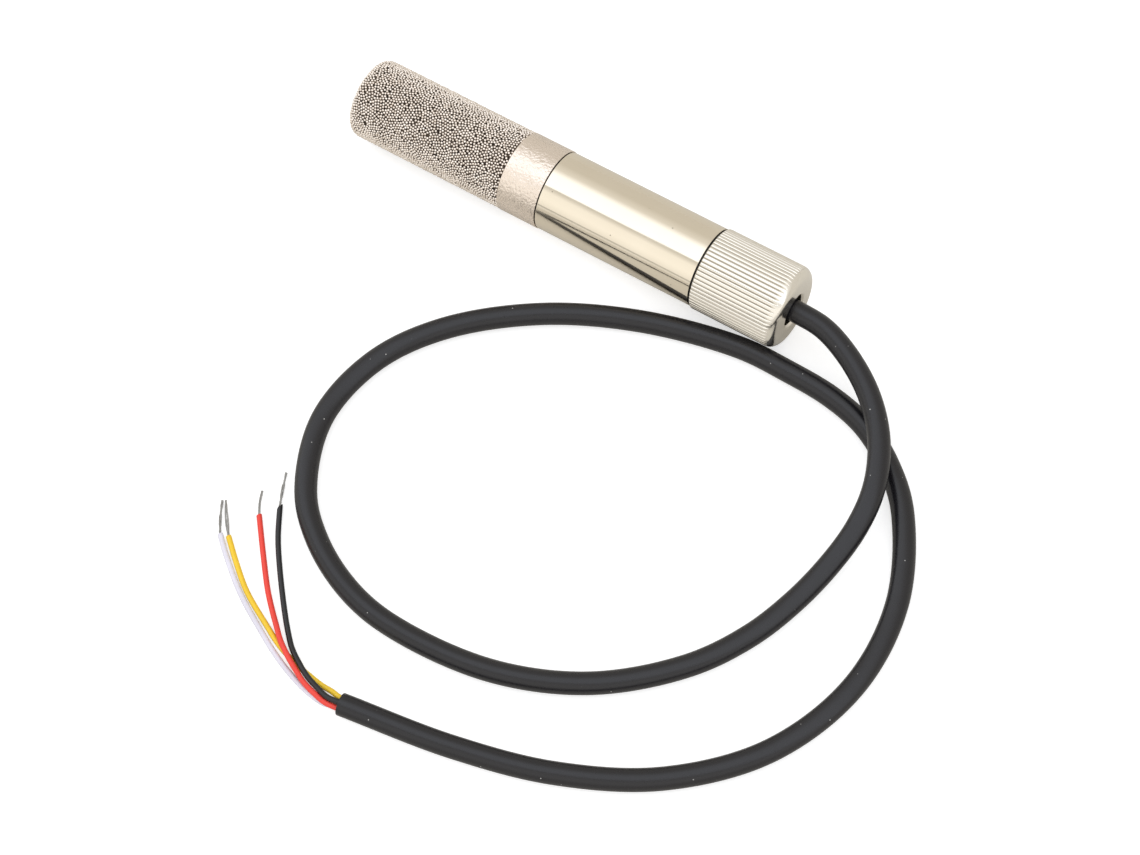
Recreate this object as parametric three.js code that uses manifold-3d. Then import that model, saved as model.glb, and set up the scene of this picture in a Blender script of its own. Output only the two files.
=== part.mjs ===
// A probe for moisture, humidity and temperature with its cable, in millimetres, +Z up.
// The probe lies on the floor along X, filter tip at -X and cable end at +X, with the origin
// under the middle of the probe. Its filter cup and its knurled cap both screw off the tube.
import * as THREE from "three";
import { mergeVertices } from "three/addons/utils/BufferGeometryUtils.js";
import Module from "manifold-3d";

const wasm = await Module();
wasm.setup();

// ---- Driving dimensions ----

// tube, threaded outside at both ends
const tubeLength = 31.65; // between its two shoulders
const tubeRadius = 7.5;
const frontShoulder = 1.2; // step down to the thread
const frontThreadWall = 1.1; // from the thread to the bore
const rearShoulder = 1.0;
const rearThreadLength = 7.0;
const threadRunIn = 0.5; // lead-in chamfer of a thread
const edgeBreak = 0.15; // small chamfer on turned edges

const frontThreadRadius = tubeRadius - frontShoulder;
const rearThreadRadius = tubeRadius - rearShoulder;
const tubeBore = frontThreadRadius - frontThreadWall; // radius

// filter cup of sintered metal beads
const filterLength = 32.6; // bead surface, tip to collar
const filterProud = 0.1; // beads and collar beyond the tube's surface
const filterWall = 2.2;
const filterTipWall = 2.6;
const filterTipRound = 1.8;
const tenonLength = 1.6; // plain end that sits in the collar
const tenonWall = 1.2;

// solid collar, threaded inside
const collarLength = 7.85;

const filterRadius = tubeRadius + filterProud;
const collarRadius = tubeRadius + filterProud;

// knurled cap over the cable end
const capLength = 16.9;
const capProud = 0.25; // crests of the knurl beyond the tube's surface
const capRound = 2.0;
const capEndWall = 2.4;
const capHoleRadius = 3.0;
const capHoleBreak = 0.35;
const knurlTeeth = 60;
const knurlDepth = 0.22;

const capRadius = tubeRadius + capProud;

// soft rings
const frontGasketThickness = 0.1;
const rearGasketThickness = 0.25;
const grommetSeatDepth = 5.0; // part of the grommet inside the tube
const grommetHeadInset = 0.7; // head inside the tube's rear thread
const grommetTaper = 1.2;
const washerThickness = 0.8;
const washerBore = 2.6; // radius

const grommetHeadRadius = rearThreadRadius - grommetHeadInset;

// sensor board
const boardLength = 36;
const boardSideRoom = 1.2; // from the board's edges to the tube's bore
const boardThickness = 1.0;
const boardBehindPotting = 4.0; // bare end of the board, where the cores are soldered
const pottingLength = 5.0;
const pottingSetback = 1.5; // from the front end of the tube's thread
const chipSize = 2.5;
const chipHeight = 0.9;
const chipInset = 2.2; // chip centre behind the board's front edge
const ventRadius = 0.6;
const ventDepth = 0.3;
const chipPart = { length: 1.6, width: 0.8 }; // capacitor and resistors, 0603 size
const capacitorHeight = 0.8;
const resistorHeight = 0.45;
const padEdge = 1.15; // outer pads' centres from the board's edges
const padGap = 0.5; // between neighbouring solder joints
const solderHeight = 0.55;
const padInset = 1.6; // solder behind the board's potted part
const leadStraight = 1.5; // of a core before it turns in towards the others
const leadGather = 1.8; // where the four cores lie together in front of the jacket

const boardWidth = 2 * (tubeBore - boardSideRoom);
const padPitch = (boardWidth - 2 * padEdge) / 3; // four pads across the board
const solderRadius = (padPitch - padGap) / 2;

// cable
const cableRadius = 2.0;
const coreRadius = 0.5; // insulated core
const conductorRadius = 0.24; // tinned strands
const coreCircle = 0.96; // radius of the circle the four cores' centres lie on
const cableStartX = 16; // end of the jacket inside the tube
const cableSides = 10;
const coreSides = 8;
const cableSteps = 76;

// clearances
const seatGap = 0.05; // between faces that are screwed or pushed together
const slideGap = 0.1; // round a piece in its hole, per side
const threadGap = 0.15; // between the crests of two mating threads, per side
const endGap = 0.3; // beyond the end of a thread or a tenon, and where a cord meets a face
const turnSides = 48;

// ---- Places along the axis, from the filter's tip to the cap's end ----

const probeLength =
  filterLength + collarLength + frontGasketThickness + tubeLength + rearGasketThickness + capLength +
  4 * seatGap;
const tipX = -probeLength / 2;
const collarX = tipX + filterLength;
const frontGasketX = collarX + collarLength + seatGap;
const tubeX = frontGasketX + frontGasketThickness + seatGap;
const tubeEndX = tubeX + tubeLength;
const rearGasketX = tubeEndX + seatGap;
const capX = rearGasketX + rearGasketThickness + seatGap;
const capEndX = capX + capLength;
const axisHeight = Math.max(filterRadius, collarRadius, tubeRadius, capRadius);

const frontThreadX = collarX + tenonLength + seatGap + endGap; // front end of the tube
const rearThreadX = tubeEndX + rearThreadLength; // rear end of the tube
const capWallX = capEndX - capEndWall; // inner face of the cap's end wall
const washerX = capWallX - seatGap - washerThickness;
const pottingX = frontThreadX + pottingSetback;
const boardEndX = pottingX + pottingLength + boardBehindPotting;
const boardX = boardEndX - boardLength;
const padX = pottingX + pottingLength + padInset;
const boardTop = boardThickness / 2; // above the probe's axis

// ---- Materials ----

const finish = (color, roughness, metalness) =>
  new THREE.MeshStandardMaterial({ color, roughness, metalness });
const sinteredNickel = finish(0xd3c7ba, 0.55, 1);
const satinNickel = finish(0xd3c5b8, 0.42, 1);
const polishedNickel = finish(0xcfc4ae, 0.12, 1);
const knurledNickel = finish(0xe0d8c6, 0.22, 1);
const blackRubber = finish(0x151516, 0.7, 0);
const blackNylon = finish(0x1b1b1c, 0.5, 0);
const boardGreen = finish(0x1f6b3a, 0.5, 0);
const chipBlack = finish(0x1d1d1f, 0.45, 0);
const ceramic = finish(0xb59a72, 0.5, 0);
const solder = finish(0xc9cacc, 0.25, 1);
const epoxy = finish(0x16171a, 0.3, 0);
const jacketPvc = finish(0x2c2b2e, 0.5, 0);
const tinnedCopper = finish(0xb9b7b2, 0.3, 1);
const corePvc = {
  white: finish(0xf0eef6, 0.45, 0),
  yellow: finish(0xf6d23e, 0.45, 0),
  red: finish(0xf2564a, 0.45, 0),
  black: finish(0x2b2b2d, 0.45, 0),
};

// ---- Tools ----

// Solid of a closed geometry, faces turned outwards.
function solid(geometry) {
  const bare = geometry.clone();
  bare.deleteAttribute("normal");
  bare.deleteAttribute("uv");
  const merged = mergeVertices(bare, 1e-4);
  const triVerts = new Uint32Array(merged.index.array);
  const make = () =>
    new wasm.Manifold(
      new wasm.Mesh({ numProp: 3, vertProperties: merged.attributes.position.array, triVerts }),
    );
  if (make().volume() > 0) return make();
  for (let i = 0; i < triVerts.length; i += 3) {
    [triVerts[i + 1], triVerts[i + 2]] = [triVerts[i + 2], triVerts[i + 1]];
  }
  return make();
}

function geometryOf(made) {
  const { vertProperties, triVerts } = made.getMesh();
  const geometry = new THREE.BufferGeometry();
  geometry.setAttribute("position", new THREE.BufferAttribute(vertProperties, 3));
  geometry.setIndex(new THREE.BufferAttribute(triVerts, 1));
  geometry.computeVertexNormals();
  return geometry;
}

// Ring or plug turned about X from a closed outline of [x, radius] corners.
function turned(outline, sides = turnSides) {
  const points = [...outline, outline[0]].map(([x, radius]) => new THREE.Vector2(radius, x));
  return solid(new THREE.LatheGeometry(points, sides).rotateZ(-Math.PI / 2));
}

// Corners of a quarter circle from angle a to angle b about [x, radius].
function roundCorner(x, radius, size, a, b, steps = 5) {
  return Array.from({ length: steps + 1 }, (_, i) => {
    const angle = a + ((b - a) * i) / steps;
    return [x + size * Math.cos(angle), radius + size * Math.sin(angle)];
  });
}

// Flat outline in the YZ plane, carried along X from x.
function extrudedAlongX(shape, x, length) {
  const geometry = new THREE.ExtrudeGeometry(shape, { depth: length, bevelEnabled: false, steps: 1 });
  geometry.rotateY(Math.PI / 2).rotateX(Math.PI / 2);
  return solid(geometry.translate(x, 0, 0));
}

function box(sizeX, sizeY, sizeZ, x, y, z) {
  return solid(new THREE.BoxGeometry(sizeX, sizeY, sizeZ).translate(x, y, z));
}

function roundCord(points, radius, sides, steps) {
  const section = new THREE.Shape();
  for (let i = 0; i < sides; i += 1) {
    const angle = (2 * Math.PI * (i + 0.5)) / sides;
    const corner = [radius * Math.cos(angle), radius * Math.sin(angle)];
    if (i === 0) section.moveTo(...corner);
    else section.lineTo(...corner);
  }
  const path = new THREE.CatmullRomCurve3(points.map((p) => new THREE.Vector3(...p)), false, "centripetal");
  return solid(new THREE.ExtrudeGeometry(section, { steps, extrudePath: path, bevelEnabled: false }));
}

const part = new THREE.Group();
const probe = new THREE.Group(); // everything on the probe's axis
probe.position.z = axisHeight;
part.add(probe);

function add(group, name, made, material) {
  const mesh = new THREE.Mesh(geometryOf(made), material);
  mesh.name = name;
  group.add(mesh);
}

// ---- Filter cup and collar ----

const filterBore = filterRadius - filterWall;
const tenonRadius = filterBore + tenonWall;
const tenonEndX = collarX + tenonLength;

add(
  probe,
  "filter_cup",
  turned([
    [tipX, 0],
    ...roundCorner(tipX + filterTipRound, filterRadius - filterTipRound, filterTipRound, Math.PI, Math.PI / 2),
    [collarX - seatGap, filterRadius],
    [collarX - seatGap, tenonRadius],
    [tenonEndX, tenonRadius],
    [tenonEndX, filterBore],
    [tipX + filterTipWall, filterBore],
    [tipX + filterTipWall, 0],
  ]),
  sinteredNickel,
);

const collarEndX = collarX + collarLength;
const collarThread = frontThreadRadius + threadGap;
const collarSocket = tenonRadius + slideGap;
add(
  probe,
  "filter_collar",
  turned([
    [collarX, collarRadius],
    [collarEndX - edgeBreak, collarRadius],
    [collarEndX, collarRadius - edgeBreak],
    [collarEndX, collarThread + threadRunIn],
    [collarEndX - threadRunIn, collarThread],
    [tenonEndX + seatGap, collarThread],
    [tenonEndX + seatGap, collarSocket],
    [collarX, collarSocket],
  ]),
  satinNickel,
);

function flatRing(x, thickness, inner, outer) {
  return turned([
    [x, inner],
    [x, outer],
    [x + thickness, outer],
    [x + thickness, inner],
  ]);
}

add(
  probe,
  "filter_gasket",
  flatRing(frontGasketX, frontGasketThickness, frontThreadRadius + threadGap, tubeRadius - edgeBreak),
  blackRubber,
);

// ---- Tube ----

add(
  probe,
  "probe_tube",
  turned([
    [frontThreadX, tubeBore],
    [frontThreadX, frontThreadRadius - threadRunIn],
    [frontThreadX + threadRunIn, frontThreadRadius],
    [tubeX, frontThreadRadius],
    [tubeX, tubeRadius - edgeBreak],
    [tubeX + edgeBreak, tubeRadius],
    [tubeEndX - edgeBreak, tubeRadius],
    [tubeEndX, tubeRadius - edgeBreak],
    [tubeEndX, rearThreadRadius],
    [rearThreadX - threadRunIn, rearThreadRadius],
    [rearThreadX, rearThreadRadius - threadRunIn],
    [rearThreadX, tubeBore],
  ]),
  polishedNickel,
);

// ---- Cable end: rear gasket, grommet, slip washer and knurled cap ----

add(
  probe,
  "rear_gasket",
  flatRing(rearGasketX, rearGasketThickness, rearThreadRadius + slideGap, tubeRadius - edgeBreak),
  blackRubber,
);

const cablePassage = cableRadius + slideGap;
const grommetX = rearThreadX - grommetSeatDepth;
const grommetEndX = washerX - seatGap;
const grommetBody = tubeBore - slideGap;
const headX = rearThreadX + seatGap;
add(
  probe,
  "cable_grommet",
  turned([
    [grommetX, cablePassage],
    [grommetX, grommetBody - grommetTaper],
    [grommetX + grommetTaper, grommetBody],
    [headX, grommetBody],
    [headX, grommetHeadRadius],
    [grommetEndX - grommetTaper, grommetHeadRadius],
    [grommetEndX, grommetHeadRadius - grommetTaper],
    [grommetEndX, cablePassage],
  ]),
  blackRubber,
);

const capChamber = grommetHeadRadius + slideGap; // also centres the washer
add(
  probe,
  "slip_washer",
  flatRing(washerX, washerThickness, washerBore, capChamber - slideGap),
  blackNylon,
);

// The knurl is a toothed prism, and the turned outline trims it to the cap's round shoulder.
function knurlPrism() {
  const shape = new THREE.Shape();
  for (let i = 0; i < 2 * knurlTeeth; i += 1) {
    const radius = i % 2 === 0 ? capRadius : capRadius - knurlDepth;
    const angle = (Math.PI * i) / knurlTeeth;
    const corner = [radius * Math.cos(angle), radius * Math.sin(angle)];
    if (i === 0) shape.moveTo(...corner);
    else shape.lineTo(...corner);
  }
  return extrudedAlongX(shape, capX, capLength);
}

const capThread = rearThreadRadius + threadGap;
const capThreadEndX = rearThreadX + endGap;
const capOutside = capRadius / Math.cos(Math.PI / knurlTeeth); // flats of the turned trim clear the crests
const capTrim = turned(
  [
    [capX, 0],
    [capX, capRadius - knurlDepth - edgeBreak],
    [capX + knurlDepth + edgeBreak, capOutside],
    ...roundCorner(capEndX - capRound, capOutside - capRound, capRound, Math.PI / 2, 0),
    [capEndX, 0],
  ],
  knurlTeeth,
);
const capHollow = turned([
  [capX - endGap, 0],
  [capX - endGap, capThread + threadRunIn],
  [capX, capThread + threadRunIn],
  [capX + threadRunIn, capThread],
  [capThreadEndX, capThread],
  [capThreadEndX, capChamber],
  [capWallX, capChamber],
  [capWallX, capHoleRadius],
  [capEndX - capHoleBreak, capHoleRadius],
  [capEndX, capHoleRadius + capHoleBreak],
  [capEndX + endGap, capHoleRadius + capHoleBreak],
  [capEndX + endGap, 0],
]);
add(probe, "knurled_cap", knurlPrism().intersect(capTrim).subtract(capHollow), knurledNickel);

// ---- Sensor board and what is on it ----

add(
  probe,
  "sensor_board",
  box(boardLength, boardWidth, boardThickness, boardX + boardLength / 2, 0, 0),
  boardGreen,
);

const chipX = boardX + chipInset;
const chipZ = boardTop + seatGap;
const vent = new THREE.CylinderGeometry(ventRadius, ventRadius, 2 * ventDepth, 20).rotateX(Math.PI / 2);
add(
  probe,
  "sensor_chip",
  box(chipSize, chipSize, chipHeight, chipX, 0, chipZ + chipHeight / 2).subtract(
    solid(vent.translate(chipX, 0, chipZ + chipHeight)),
  ),
  chipBlack,
);

const smallParts = [
  ["decoupling_capacitor", capacitorHeight, 3.4, 0, ceramic],
  ["pull_up_resistor_1", resistorHeight, 6.0, 1.5, chipBlack],
  ["pull_up_resistor_2", resistorHeight, 6.0, -1.5, chipBlack],
];
for (const [name, height, behindChip, y, material] of smallParts) {
  const x = chipX + behindChip;
  add(probe, name, box(chipPart.length, chipPart.width, height, x, y, chipZ + height / 2), material);
}

const slotY = boardWidth / 2 + slideGap;
const slotZ = boardTop + slideGap;
const boardSlot = new THREE.Path([
  new THREE.Vector2(-slotY, -slotZ),
  new THREE.Vector2(-slotY, slotZ),
  new THREE.Vector2(slotY, slotZ),
  new THREE.Vector2(slotY, -slotZ),
]);
const pottingOutline = new THREE.Shape().absarc(0, 0, tubeBore - slideGap, 0, 2 * Math.PI);
pottingOutline.holes.push(boardSlot);
add(probe, "potting_plug", extrudedAlongX(pottingOutline, pottingX, pottingLength), epoxy);

// ---- Cores: from the solder joints into the jacket, and out of its far end ----

const padOrder = ["red", "black", "yellow", "white"];
const leadZ = boardTop + slideGap + coreRadius;
const leadX = padX + solderRadius + endGap;

padOrder.forEach((colour, i) => {
  const y = (i - 1.5) * padPitch;
  const dome = new THREE.LatheGeometry(
    [
      [0, 0],
      [solderRadius, 0],
      [solderRadius * 0.8, solderHeight * 0.6],
      [solderRadius * 0.4, solderHeight * 0.93],
      [0, solderHeight],
    ].map(([radius, height]) => new THREE.Vector2(radius, height)),
    16,
  );
  dome.rotateX(Math.PI / 2).translate(padX, y, boardTop + seatGap);
  add(probe, `solder_joint_${colour}`, solid(dome), solder);

  // the four leads part into two levels, and then gather into the square that they keep in the jacket
  const side = Math.sign(y);
  const high = Math.abs(y) < padPitch ? 1 : -1;
  const gathered = coreCircle * Math.SQRT1_2;
  const lead = [
    [leadX, y, leadZ],
    [leadX + leadStraight, y, leadZ],
    [(leadX + cableStartX) / 2, y, high * gathered],
    [cableStartX - leadGather, side * gathered, high * gathered],
    [cableStartX - endGap, side * gathered, high * gathered],
  ];
  add(probe, `inner_lead_${colour}`, roundCord(lead, coreRadius, coreSides, 14), corePvc[colour]);
});

// ---- Cable: straight through grommet and cap, over its own loop and round on the floor ----

const cableZ = cableRadius; // lying on the floor
const cableRoute = [
  [cableStartX, 0, axisHeight],
  [32, 0, axisHeight],
  [40, 0, axisHeight],
  [46, 0, axisHeight],
  [50.8, -0.4, axisHeight - 0.05],
  [56.2, -2.4, axisHeight - 0.3],
  [62.3, -6.1, axisHeight - 0.7],
  [67.2, -10.7, 6.65],
  [70.8, -16.0, 6.4],
  [73.3, -22.6, 5.9],
  [73.9, -29.6, 4.6],
  [72.9, -37.5, 3.1],
  [70.9, -45.6, 2.2],
  [67.6, -54.4, cableZ],
  [61.4, -64.1, cableZ],
  [48.9, -75.0, cableZ],
  [32.9, -81.6, cableZ],
  [13.6, -83.2, cableZ],
  [3.5, -81.2, cableZ],
  [-6.0, -76.3, cableZ],
  [-12.8, -69.7, cableZ],
  [-18.1, -56.6, cableZ],
  [-16.3, -42.8, cableZ],
  [-9.2, -31.4, cableZ],
  [4.3, -20.3, cableZ],
  [20.6, -12.7, cableZ],
  [38.3, -8.5, cableZ],
  [48.0, -8.3, cableZ],
  [57.4, -8.9, cableZ],
  [65.2, -11.0, cableZ],
  [73.0, -15.9, cableZ],
  [79.0, -22.2, cableZ],
  [86.2, -37.0, cableZ],
  [87.2, -53.5, cableZ],
  [81.0, -70.0, cableZ],
  [68.4, -83.0, cableZ],
  [52.3, -91.4, cableZ],
  [35.0, -96.2, cableZ],
  [14.4, -99.4, cableZ],
];
add(part, "cable_jacket", roundCord(cableRoute, cableRadius, cableSides, cableSteps), jacketPvc);

// Each core's route starts just off the jacket's cut end, and each conductor's off its insulation.
const low = coreRadius; // lying on the floor
const coreRoutes = {
  white: [
    [14.1, -99.6, 1.02],
    [11.4, -100.4, 0.6],
    [8.2, -100.15, low],
    [4.4, -99.2, low],
    [-0.4, -97.4, low],
    [-5.6, -94.8, low],
    [-12.4, -91.0, low],
    [-18.7, -86.3, low],
    [-21.8, -83.6, low],
  ],
  yellow: [
    [13.9, -98.5, 2.15],
    [11.6, -98.1, 1.3],
    [9.3, -97.9, 0.6],
    [7.2, -97.6, low],
    [3.4, -96.9, low],
    [-0.9, -95.6, low],
    [-5.1, -93.6, low],
    [-11.7, -90.1, low],
    [-16.3, -86.6, low],
    [-20.3, -83.2, low],
  ],
  red: [
    [14.1, -100.3, 1.95],
    [11.8, -100.45, 1.8],
    [9.2, -99.95, 1.75],
    [6.6, -99.2, 1.7],
    [4.1, -98.0, 1.7],
    [1.5, -96.6, 1.7],
    [-1.1, -94.9, 1.65],
    [-3.4, -92.9, 1.2],
    [-5.8, -90.8, 0.65],
    [-8.6, -88.1, low],
    [-13.3, -82.7, low],
    [-17.9, -77.2, low],
  ],
  black: [
    [14.1, -99.5, 2.9],
    [11.7, -99.55, 2.3],
    [9.2, -98.9, 1.85],
    [6.6, -98.05, 1.7],
    [3.8, -96.6, 1.6],
    [1.3, -95.0, 1.1],
    [-1.0, -92.9, 0.6],
    [-4.0, -89.7, low],
    [-9.0, -83.8, low],
    [-12.5, -79.2, low],
    [-15.6, -74.1, low],
  ],
};
const conductorRoutes = {
  white: [
    [-22.0, -83.35, low],
    [-23.6, -80.9, 0.6],
    [-25.1, -78.1, 0.6],
  ],
  yellow: [
    [-20.5, -82.95, low],
    [-21.9, -81.3, 0.6],
    [-24.6, -77.8, 0.6],
  ],
  red: [
    [-18.05, -76.95, low],
    [-19.1, -75.2, 0.6],
    [-20.0, -73.1, 0.6],
  ],
  black: [
    [-15.75, -73.85, low],
    [-16.8, -71.6, 0.6],
    [-18.3, -68.1, 0.6],
  ],
};
for (const colour of Object.keys(coreRoutes)) {
  add(part, `core_${colour}`, roundCord(coreRoutes[colour], coreRadius, coreSides, 20), corePvc[colour]);
  add(
    part,
    `conductor_${colour}`,
    roundCord(conductorRoutes[colour], conductorRadius, coreSides, 4),
    tinnedCopper,
  );
}

export default part;
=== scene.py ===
# Soil moisture probe with a sintered filter, a knurled cap and its loose cable.
# The looks are built around the fixed frame, in metres, +Z up, with the probe lying along X.
import math

import bmesh
import bpy
import numpy as np
from mathutils import Matrix, Vector


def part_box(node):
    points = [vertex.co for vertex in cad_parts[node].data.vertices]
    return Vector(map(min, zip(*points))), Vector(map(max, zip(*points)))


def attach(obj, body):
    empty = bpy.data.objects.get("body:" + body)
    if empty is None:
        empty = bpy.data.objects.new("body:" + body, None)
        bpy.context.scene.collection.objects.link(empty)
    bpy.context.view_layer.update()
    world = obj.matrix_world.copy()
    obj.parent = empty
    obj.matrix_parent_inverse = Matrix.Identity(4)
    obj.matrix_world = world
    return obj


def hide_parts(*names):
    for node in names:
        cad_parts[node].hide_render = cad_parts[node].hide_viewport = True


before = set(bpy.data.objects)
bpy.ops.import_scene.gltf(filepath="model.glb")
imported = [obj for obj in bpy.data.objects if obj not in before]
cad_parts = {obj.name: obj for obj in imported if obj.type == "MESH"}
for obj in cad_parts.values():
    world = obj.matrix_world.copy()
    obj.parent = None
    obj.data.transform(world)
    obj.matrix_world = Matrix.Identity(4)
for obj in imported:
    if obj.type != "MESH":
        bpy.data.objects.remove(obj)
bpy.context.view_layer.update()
mm = 0.001
tau = 2 * math.pi
print("frame loaded:", len(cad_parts), "nodes")

# camera: where it stands, what it looks at on the floor, and how far it is rolled
view = {
    "place": (0.18031, -0.21326, 0.49740),
    "target": (0.02017, -0.03576, 0.0),
    "roll": math.radians(11.1),
    "lens": 99.63,
    "sensor": 36,
}


def setCamera(look):
    place = Vector(look["place"])
    back = (place - Vector(look["target"])).normalized()
    level = Vector((0, 0, 1)).cross(back).normalized()
    right = Matrix.Rotation(-look["roll"], 3, back) @ level
    turn = Matrix((right, back.cross(right), back)).transposed()
    data = bpy.data.cameras.new("camera")
    data.lens, data.sensor_width = look["lens"], look["sensor"]
    data.clip_start, data.clip_end = 0.01, 50
    camera = bpy.data.objects.new("camera", data)
    camera.matrix_world = Matrix.Translation(place) @ turn.to_4x4()
    bpy.context.scene.collection.objects.link(camera)
    bpy.context.scene.camera = camera


setCamera(view)
print("camera set")

# places along the probe's axis, from the frame


def ends(node):
    low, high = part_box(node)
    return low.x, high.x


seatGap = 0.05 * mm
axisZ = (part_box("filter_cup")[0].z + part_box("filter_cup")[1].z) / 2
tipX, tenonEndX = ends("filter_cup")
collarX, collarEndX = ends("filter_collar")
tubeX = ends("filter_gasket")[1] + seatGap
tubeEndX = ends("rear_gasket")[0] - seatGap
frontThreadX, rearThreadX = ends("probe_tube")
capX, capEndX = ends("knurled_cap")
grommetX, grommetEndX = ends("cable_grommet")
washerEndX = ends("slip_washer")[1]


def reach(node):  # outer radius of a turned node
    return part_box(node)[1].y


def hexColour(code, share=1.0):  # sRGB hex to linear, darkened to a share of itself
    rgb = np.array([int(code[i : i + 2], 16) for i in (1, 3, 5)]) / 255
    linear = np.where(rgb <= 0.04045, rgb / 12.92, ((rgb + 0.055) / 1.055) ** 2.4)
    return (*(share * linear), 1.0)


def perSize(size):  # scale of a pattern whose features have this size, in millimetres
    return 1000 / size


def addNode(tree, kind, inputs=(), **settings):
    # inputs are named, or listed in the order of the sockets; each is a plain value, a socket, or
    # another node, which stands for its first live output
    node = tree.nodes.new("ShaderNode" + kind)
    for key, value in settings.items():
        setattr(node, key, value)
    named = inputs if isinstance(inputs, dict) else dict(enumerate(inputs))
    for key, value in named.items():
        if isinstance(value, bpy.types.Node):
            value = next(output for output in value.outputs if output.enabled)
        if isinstance(value, bpy.types.NodeSocket):
            tree.links.new(value, node.inputs[key])
        else:
            node.inputs[key].default_value = value
    return node


def newMaterial(name, recipe, *values):
    # a recipe gives the inputs of one principled shader: plain values go on its own sockets, and
    # the rest are nodes that read Object coordinates. A colour Mix has its factor in socket 0 and
    # its colours in 6 and 7; a Map Range lists its value, its range and the range it becomes
    material = bpy.data.materials.new(name)
    material.use_nodes = True
    tree = material.node_tree
    tree.nodes.clear()
    place = addNode(tree, "TexCoord").outputs["Object"]
    shader = addNode(tree, "BsdfPrincipled", recipe(tree, place, *values))
    addNode(tree, "OutputMaterial", [shader])
    return material


def grooveShade(tree, place, colour, c):
    # painted shade: darker towards the bottom of the grooves, by distance from the axis, as far as
    # the shoulder
    parts = addNode(tree, "SeparateXYZ", [place]).outputs
    level = addNode(tree, "Math", [parts["Z"], axisZ], operation="SUBTRACT")
    flat = addNode(tree, "CombineXYZ", {"Y": parts["Y"], "Z": level})
    away = addNode(tree, "VectorMath", [flat], operation="LENGTH")
    levels = (c["radius"] - share * c["depth"] for share in c["shaded"])
    low = addNode(tree, "MapRange", [away, *levels, 1, 0])
    shoulder = (capEndX - back for back in c["shadeEnd"])
    ahead = addNode(tree, "MapRange", [parts["X"], *shoulder, 1, 0])
    both = addNode(tree, "Math", [low, ahead], operation="MULTIPLY")
    # painted shade: the bottom of each groove takes the darker shade colour
    tones = {0: both, 6: colour, 7: hexColour(c["grooveShadeColour"])}
    return addNode(tree, "Mix", tones, data_type="RGBA")


def skin(tree, place, look):
    # each noise has its size in millimetres, its detail and how much it is drawn out along the
    # probe; "tone" mixes the two colours, and others vary the roughness and raise the surface
    noises = {}
    for key, (size, detail, drawn) in look["noises"].items():
        along = addNode(tree, "Mapping", {"Vector": place, "Scale": (drawn, 1, 1)})
        inputs = {"Vector": along, "Scale": perSize(size), "Detail": detail}
        noises[key] = addNode(tree, "TexNoise", inputs)
    if look.get("attribute"):
        values = addNode(tree, "Attribute", attribute_name=look["attribute"])
        noises["tone"] = values.outputs["Fac"]
    tones = {0: noises["tone"], 6: look["dark"], 7: look["light"]}
    colour = addNode(tree, "Mix", tones, data_type="RGBA")
    if look.get("specks"):
        size, inner, outer, share, code = look["specks"]
        dots = addNode(tree, "TexVoronoi", {"Vector": place, "Scale": perSize(size)})
        speck = addNode(tree, "MapRange", [dots, inner, outer, share, 0])
        tones = {0: speck, 6: colour, 7: hexColour(code)}
        colour = addNode(tree, "Mix", tones, data_type="RGBA")
    # painted shade in the knurl's grooves, for a look that has them
    if look.get("grooves"):
        colour = grooveShade(tree, place, colour, look["grooves"])
    shader = {**look["shader"], "Base Color": colour}
    if look.get("rough"):
        key, *levels = look["rough"]
        shader["Roughness"] = addNode(tree, "MapRange", [noises[key], *levels])
    under = {}
    for key, depth in look["relief"].items():
        raised = {"Height": noises[key], "Distance": depth * mm, **under}
        under = {"Normal": addNode(tree, "Bump", raised)}
    return {**shader, **under}


def sinterHollowShade(tree, place, light, dark):
    # the beads below the surface, seen only as dark hollows between the outer ones: their dark
    # colour is painted shade, lighter in each cell's middle and darker towards its rim
    cells = addNode(tree, "TexVoronoi", {"Vector": place, "Scale": perSize(0.5)})
    # painted shade: light in the middle of each cell, dark at its rim
    edge = addNode(tree, "MapRange", [cells, 0.1, 0.6])
    tones = {0: edge, 6: hexColour(light), 7: hexColour(dark)}
    colour = addNode(tree, "Mix", tones, data_type="RGBA")
    domes = addNode(tree, "MapRange", [cells, 0, 0.7, 1, 0])
    relief = addNode(tree, "Bump", {"Height": domes, "Distance": 0.2 * mm})
    return {"Base Color": colour, "Metallic": 0.85, "Roughness": 0.6, "Normal": relief}


def whiteTable(tree, place):
    # matt white, a little brighter to the eye than to what lies on it, so that shadows stay faint
    tone = addNode(tree, "TexNoise", {"Vector": place, "Scale": perSize(400), "Detail": 1})
    tones = {0: tone, 6: hexColour("#D0D0D0"), 7: hexColour("#D4D4D4")}
    white = addNode(tree, "Mix", tones, data_type="RGBA")
    rays = addNode(tree, "LightPath").outputs
    tones = {0: rays["Is Glossy Ray"], 6: white, 7: hexColour("#CBC7BF")}
    paint = addNode(tree, "Mix", tones, data_type="RGBA")
    lift = addNode(tree, "MapRange", [rays["Is Camera Ray"], 0, 1, 0, 0.58])
    gloss = addNode(tree, "MapRange", [rays["Is Glossy Ray"], 0, 1, 0, 0.04])
    glow = addNode(tree, "Math", [lift, gloss], operation="ADD")
    light = {"Emission Color": (1, 1, 1, 1), "Emission Strength": glow}
    return {"Base Color": paint, "Roughness": 0.9, "Specular IOR Level": 0.1, **light}


# nickel-plated bronze beads, sintered: each one is a small smooth mirror of its own tone
sinteredNickel = {
    "noises": {"grain": (0.08, 3, 1)},
    "attribute": "beadTone",
    "dark": hexColour("#E0D5CA"),
    "light": hexColour("#FAF2EA"),
    "relief": {"grain": 0.006},
    "shader": {"Metallic": 1.0, "Roughness": 0.24},
}
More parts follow.
